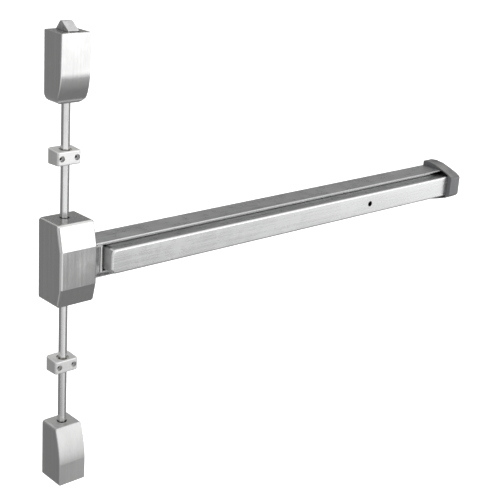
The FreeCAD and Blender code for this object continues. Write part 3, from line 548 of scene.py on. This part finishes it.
def zinc_plate(name):
    """Passivated zinc: crystal cells tint the colour and the roughness. Edges are lighter, partly
    as polish and partly as a painted highlight, and corners get painted shade.
    Cells are looked up at place + 4 mm x noise, which bends their borders."""
    material, tree, shader = new_material(name)
    wear_and_light = place_group(tree, wear_and_light_group, {"Width": 0.0006, "Patchiness": 0.4})
    hand = place_group(tree, hand_group, {"Cloud size": 30.0})
    where = object_place(tree)
    warp_values = {"Vector": where, "Scale": 120.0, "Detail": 3.0}
    warp = add(tree, "ShaderNodeTexNoise", warp_values).outputs["Color"]
    warp = vector_math(tree, "MULTIPLY", warp, (0.004, 0.004, 0.004)).outputs[0]
    bent = vector_math(tree, "ADD", where, warp).outputs[0]
    cells = add(tree, "ShaderNodeTexVoronoi", {"Vector": bent, "Scale": 340.0}).outputs["Color"]
    tone = add(tree, "ShaderNodeSeparateColor", {0: cells}).outputs[0]
    yellowing = remap(tree, noise(tree, where, 45.0, 3.0), 0.5, 0.75, 0.0, 0.35)
    base = blend_colour(tree, tone, (0.52, 0.54, 0.57, 1), (0.66, 0.67, 0.68, 1))
    base = blend_colour(tree, yellowing, base, (0.66, 0.62, 0.50, 1))
    # Lighter edges: partly polish, partly a painted highlight.
    base = stain(tree, base, wear_and_light["Edge"], 0.7, (0.78, 0.79, 0.80))
    # Painted shade: corners that little light reaches are darkened.
    base = stain(tree, base, wear_and_light["Crevice shade"], 0.5, (0.12, 0.115, 0.10))
    roughness = share_sum(tree, 0.30, [(tone, 0.14), (hand["Smudge"], 0.10)])
    grit = noise(tree, where, 1500.0, 2.0)
    feed(tree, shader, base, roughness, bump(tree, grit, 0.00002), metallic=1.0)
    return material


pin_steel = turned_steel("turned_steel", (0.60, 0.60, 0.595), 0.20)
bolt_steel = turned_steel("ground_bolt_steel", (0.66, 0.66, 0.66), 0.22)
bracket_zinc = zinc_plate("zinc_plate")
print("plain metals made:", pin_steel.name, bolt_steel.name, bracket_zinc.name)

# %% [markdown]
# ## Painted end cap
#
# The end cap is painted dark grey with a satin coat that shows faint orange peel. Its folds are
# a lighter grey, partly rubbed paint and partly a painted highlight.

# %% Cap paint
def cap_paint(name, colour, worn_and_lit_grey):
    """Dark satin paint: slow orange peel in the normal, paler on edges, partly rubbed paint and
    partly a painted highlight.
    Roughness = 0.34 + a share each of smudges and of the peel."""
    material, tree, shader = new_material(name)
    wear_and_light = place_group(tree, wear_and_light_group, {"Width": 0.0012, "Patchiness": 0.6})
    hand = place_group(tree, hand_group, {"Cloud size": 22.0})
    where = object_place(tree)
    peel = noise(tree, where, 520.0, 2.0)
    fade = remap(tree, noise(tree, where, 26.0, 4.0), 0.3, 0.7)
    base = blend_colour(tree, fade, opaque(colour, 0.86), opaque(colour))
    # Paler edges: partly rubbed paint, partly a painted highlight.
    base = stain(tree, base, wear_and_light["Edge"], 0.55, worn_and_lit_grey)
    base = stain(tree, base, hand["Dust"], 0.35, (0.42, 0.41, 0.39))
    roughness = share_sum(tree, 0.34, [(hand["Smudge"], 0.14), (peel, 0.06)])
    feed(tree, shader, base, roughness, bump(tree, peel, 0.00003), metallic=0.35)
    return material


dark_cap = cap_paint("dark_cap_paint", (0.135, 0.137, 0.142), (0.40, 0.40, 0.40))
print("cap paint made:", dark_cap.name)

# %% [markdown]
# ## Moulded plastics
#
# Plugs are grey plastic with a spark-eroded grain. Bushes are natural nylon, which is milky and
# lets a little light in. That is the shader's subsurface weight, over a depth of 2 mm.

# %% Plastic maker
def moulded(name, low, high, rough, pits, depth, milky):
    """Plastic: colour clouds between low and high, and a grain of pits per metre and depth.
    Milky is the share of light that goes in and comes out nearby."""
    material, tree, shader = new_material(name)
    wear_and_light = place_group(tree, wear_and_light_group, {"Width": 0.0005, "Patchiness": 0.5})
    where = object_place(tree)
    flow = remap(tree, noise(tree, where, 60.0, 4.0, distortion=1.0), 0.35, 0.65)
    grain = noise(tree, where, pits, 2.0)
    base = blend_colour(tree, flow, opaque(low), opaque(high))
    # Painted shade: corners that little light reaches are darkened.
    base = stain(tree, base, wear_and_light["Crevice shade"], 0.4, (0.10, 0.095, 0.08))
    roughness = remap(tree, grain, 0.3, 0.7, rough, rough + 0.15, kind="LINEAR")
    feed(tree, shader, base, roughness, bump(tree, grain, depth))
    shader.inputs["Subsurface Weight"].default_value = milky
    shader.inputs["Subsurface Scale"].default_value = 0.002
    return material


natural_nylon = moulded(
    "natural_nylon",
    (0.50, 0.485, 0.435),
    (0.60, 0.585, 0.53),
    rough=0.38,
    pits=900.0,
    depth=0.00002,
    milky=0.10,
)
grey_plug = moulded(
    "grey_moulded_plug",
    (0.25, 0.25, 0.255),
    (0.33, 0.33, 0.335),
    rough=0.42,
    pits=1400.0,
    depth=0.00004,
    milky=0.0,
)
print("plastics made:", natural_nylon.name, grey_plug.name)

# %% [markdown]
# ## Spring wire
#
# Spring wire is drawn and dark, with fine lines that follow the wire. So its pattern reads the
# spring's own UV map, which unrolls the winding, instead of plain space. A slow noise in plain
# space adds the brown tint of heat.

# %% Spring wire maker
def drawn_wire(name):
    """Dark spring steel. Lines run along the wire: noise on UV, stretched along the winding."""
    material, tree, shader = new_material(name)
    unrolled = add(tree, "ShaderNodeUVMap", uv_map="wire").outputs[0]
    stretch = {"Vector": unrolled, "Scale": (26.0, 14.0, 1.0)}
    lines = noise(tree, add(tree, "ShaderNodeMapping", stretch).outputs[0], 1.0, 4.0)
    heat = remap(tree, noise(tree, object_place(tree), 80.0, 3.0), 0.5, 0.8, 0.0, 0.4)
    streaks = remap(tree, lines, 0.3, 0.7)
    base = blend_colour(tree, streaks, (0.27, 0.27, 0.28, 1), (0.42, 0.42, 0.43, 1))
    base = blend_colour(tree, heat, base, (0.30, 0.25, 0.19, 1))
    roughness = remap(tree, lines, 0.2, 0.8, 0.24, 0.40)
    feed(tree, shader, base, roughness, bump(tree, lines, 0.00002), metallic=1.0)
    return material


spring_wire = drawn_wire("drawn_spring_wire")
print("spring wire made:", spring_wire.name)

# %% [markdown]
# ## Dressing the CAD nodes
#
# Each CAD node carries the name of its finish from the record. A table turns that name into a
# material, and a second short table overrides it where the brushing runs another way. Only the
# material slots change. The meshes are left as they are, because their places are exact.

# %% Assign the finishes
finish_of_slot = {
    "satin": cover_steel,
    "alu": channel_alu,
    "dark": dark_cap,
    "zinc": bracket_zinc,
    "steel": pin_steel,
    "spring": spring_wire,
    "nylon": natural_nylon,
    "plug": grey_plug,
}
finish_of_node = {
    "push_pad": pad_alu,
    "upper_guide": guide_steel,
    "lower_guide": guide_steel,
    "bottom_latch_cover": foot_steel,
    "upper_rod": rod_steel,
    "lower_rod": rod_steel,
    "top_bolt": bolt_steel,
    "bottom_bolt": bolt_steel,
}
for name, node in nodes.items():
    material = finish_of_node.get(name, finish_of_slot[slot_of[name]])
    node.data.materials.clear()
    node.data.materials.append(material)
print("dressed", len(nodes), "nodes")

# %% [markdown]
# ## From a grid of points to a closed skin
#
# The rods and springs are made here as surfaces of two parameters. The first runs along the
# piece, the second runs round it, so the points form a grid whose last column joins its first.
# One helper turns such a grid into a mesh: quads between neighbours, and a fan of triangles to a
# centre point at each end. It works out the enclosed volume, which is positive only when the
# faces point outwards, and turns them round if it is not.

# %% Skin helper
def skin(name, grid, sharp, uv=None):
    """A closed mesh from grid[i, j] (i along, j round), with folds over sharp degrees kept crisp.
    Volume = sum of a . (b x c) / 6 over the triangles. Its sign says which way they point."""
    rows, cols = grid.shape[:2]
    points = np.concatenate([grid.reshape(-1, 3), grid[:1].mean(1), grid[-1:].mean(1)])
    i, j = np.meshgrid(np.arange(rows - 1), np.arange(cols), indexing="ij")
    k = (j + 1) % cols
    here, above = i * cols, (i + 1) * cols
    quads = np.stack([here + j, here + k, above + k, above + j], -1).reshape(-1, 4)
    ring = np.arange(cols)
    after = (ring + 1) % cols
    top_row, low_middle, high_middle = (rows - 1) * cols, rows * cols, rows * cols + 1
    first = np.stack([np.full(cols, low_middle), after, ring], -1)
    last = np.stack([np.full(cols, high_middle), top_row + ring, top_row + after], -1)
    fans = np.concatenate([first, last])
    halves = np.concatenate([quads[:, :3], quads[:, [0, 2, 3]], fans])
    a, b, c = points[halves[:, 0]], points[halves[:, 1]], points[halves[:, 2]]
    volume = float((a * np.cross(b, c)).sum() / 6.0)
    if volume < 0:
        quads, fans, volume = quads[:, ::-1], fans[:, ::-1], -volume
    mesh = bpy.data.meshes.new(name)
    mesh.from_pydata(points.tolist(), [], quads.tolist() + fans.tolist())
    if uv is not None:
        loops = np.zeros(len(mesh.loops), np.int32)
        mesh.loops.foreach_get("vertex_index", loops)
        flat = np.concatenate([uv.reshape(-1, 2), uv[:1, 0], uv[-1:, 0]]).astype(np.float32)
        mesh.uv_layers.new(name="wire").data.foreach_set("uv", flat[loops].ravel())
    mesh.polygons.foreach_set("use_smooth", np.ones(len(mesh.polygons), bool))
    mesh.set_sharp_from_angle(angle=math.radians(sharp))
    piece = bpy.data.objects.new(name, mesh)
    scene.collection.objects.link(piece)
    print(name, "has", len(mesh.polygons), "faces and holds", round(volume * 1e9), "cubic mm")
    return piece


print("skin helper ready")

# %% [markdown]
# ## Hexagonal rods
#
# The rods are half-inch hexagon bar, cold drawn, so the corners are not knife edges but
# small rounds, and each sawn end is turned back to a cone. The outline is six small arcs, one
# round each corner of a slightly smaller hexagon. The straight flats come by themselves between
# them. The outline travels up the rod and shrinks over the last millimetre at both ends.

# %% Make the rods
across_flats = 0.0127
corner_radius = 0.0007
cone_height = 0.0010
cone_share = 0.86
first_ring = 0.003
ring_count = 12
arc_points = 5


def rounded_hexagon(flats, corner):
    """Six arcs of radius corner. Arc centres lie on a hexagon that is smaller by the radius:
    centre = (flats / 2 - corner) / cos 30 degrees out, every 60 degrees from straight ahead."""
    out = (flats / 2.0 - corner) / math.cos(math.pi / 6)
    ways = math.pi / 2 + np.arange(6)[:, None] * math.pi / 3
    arc = ways + np.linspace(-math.pi / 6, math.pi / 6, arc_points)[None, :]
    x = out * np.cos(ways) + corner * np.cos(arc)
    y = out * np.sin(ways) + corner * np.sin(arc)
    return np.stack([x.ravel(), y.ravel()], -1)


def hex_rod(name, node, body):
    """Outline (x, y) at heights z: grid = centre + outline x the share left at that height."""
    low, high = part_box(node)
    outline = rounded_hexagon(across_flats, corner_radius)
    rings = np.linspace(low.z + first_ring, high.z - first_ring, ring_count)
    z = np.array([low.z, low.z + cone_height, *rings, high.z - cone_height, high.z])
    share = np.ones(len(z))
    share[[0, -1]] = cone_share
    grid = np.zeros((len(z), len(outline), 3))
    grid[:, :, :2] = outline[None] * share[:, None, None]
    grid[:, :, 0] += (low.x + high.x) / 2
    grid[:, :, 1] += (low.y + high.y) / 2
    grid[:, :, 2] = z[:, None]
    rod = skin(name, grid, sharp=50.0)
    rod.data.materials.append(rod_steel)
    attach(rod, body)
    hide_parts(node)
    return rod


upper_rod = hex_rod("upper_hexagon_rod", "upper_rod", "rod_u")
lower_rod = hex_rod("lower_hexagon_rod", "lower_rod", "rod_d")

# %% [markdown]
# ## Coil springs
#
# A compression spring is a round wire wound on a helix. Its last turn at each end is wound flat
# and ground, so that it stands square. The helix climbs slowly in the end turns and evenly in
# between, so height is a smooth function of the winding angle. The surface is the helix plus a
# small circle in the plane across the wire: outward = the winding's radial direction, and the
# other axis = outward crossed with the wire's own direction.

# %% Make the springs
steps_per_turn = 56
wire_sides = 14
flat_turns = 0.75
slow_pace = 0.25
tip_share = 1.0 / 400.0
tip_area = 0.05


def coil_spring(name, node, axis, radius, wire, turns):
    """Point = centre line + wire x (cos v x outward + sin v x across). The centre line climbs
    the node's box from end to end. Pace = slow pace + the rest x (turns from the end / flat turns)
    squared, so the climb is slow in the end turns. The tips are rounded off like a ball."""
    low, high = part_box(node)
    start, stop = low[axis] + wire, high[axis] - wire
    u = np.linspace(0.0, 1.0, int(turns * steps_per_turn))
    from_end = np.minimum(u, 1 - u)
    angle = 2 * math.pi * turns * u
    pace = slow_pace + (1.0 - slow_pace) * np.clip(from_end * turns / flat_turns, 0, 1) ** 2
    climb = np.concatenate([[0.0], np.cumsum((pace[1:] + pace[:-1]) / 2)])
    climb = start + (stop - start) * climb / climb[-1]
    outward = np.stack([np.cos(angle), np.sin(angle), np.zeros_like(angle)], -1)
    line = outward * radius
    line[:, 2] = climb
    along = np.gradient(line, axis=0)
    along /= np.linalg.norm(along, axis=1, keepdims=True)
    across = np.cross(outward, along)
    v = np.linspace(0, 2 * math.pi, wire_sides, endpoint=False)
    fat = wire * np.sqrt(np.clip(1 - (1 - np.clip(from_end / tip_share, 0, 1)) ** 2, tip_area, 1))
    cos_v, sin_v = np.cos(v)[None, :, None], np.sin(v)[None, :, None]
    circle = outward[:, None] * cos_v + across[:, None] * sin_v
    grid = line[:, None] + circle * fat[:, None, None]
    if axis == 0:
        grid = grid[:, :, [2, 0, 1]]
    centre = (low + high) / 2
    for other in (0, 1, 2):
        if other != axis:
            grid[:, :, other] += centre[other]
    uv = np.stack(np.broadcast_arrays(u[:, None] * turns, np.sin(v)[None, :] * 0.5 + 0.5), -1)
    spring = skin(name, grid, sharp=70.0, uv=uv)
    spring.data.materials.append(spring_wire)
    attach(spring, "frame")
    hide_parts(node)
    return spring


top_coil = coil_spring("top_coil_spring", "top_spring", 2, 0.0105, 0.0009, turns=5.0)
bottom_coil = coil_spring("bottom_coil_spring", "bottom_spring", 2, 0.0098, 0.0008, turns=5.0)
return_coil = coil_spring("return_coil_spring", "return_spring", 0, 0.0060, 0.0008, turns=9.0)

# %% [markdown]
# ## Springs and joints
#
# Each spring sits against a fixed seat at one end, and a moving piece presses its other end.
# Each spring gets its own copy of its mesh data.


def close_up(spring):
    """Gives the spring its own copy of its mesh data."""
    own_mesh(spring)


close_up(top_coil)
close_up(bottom_coil)
close_up(return_coil)
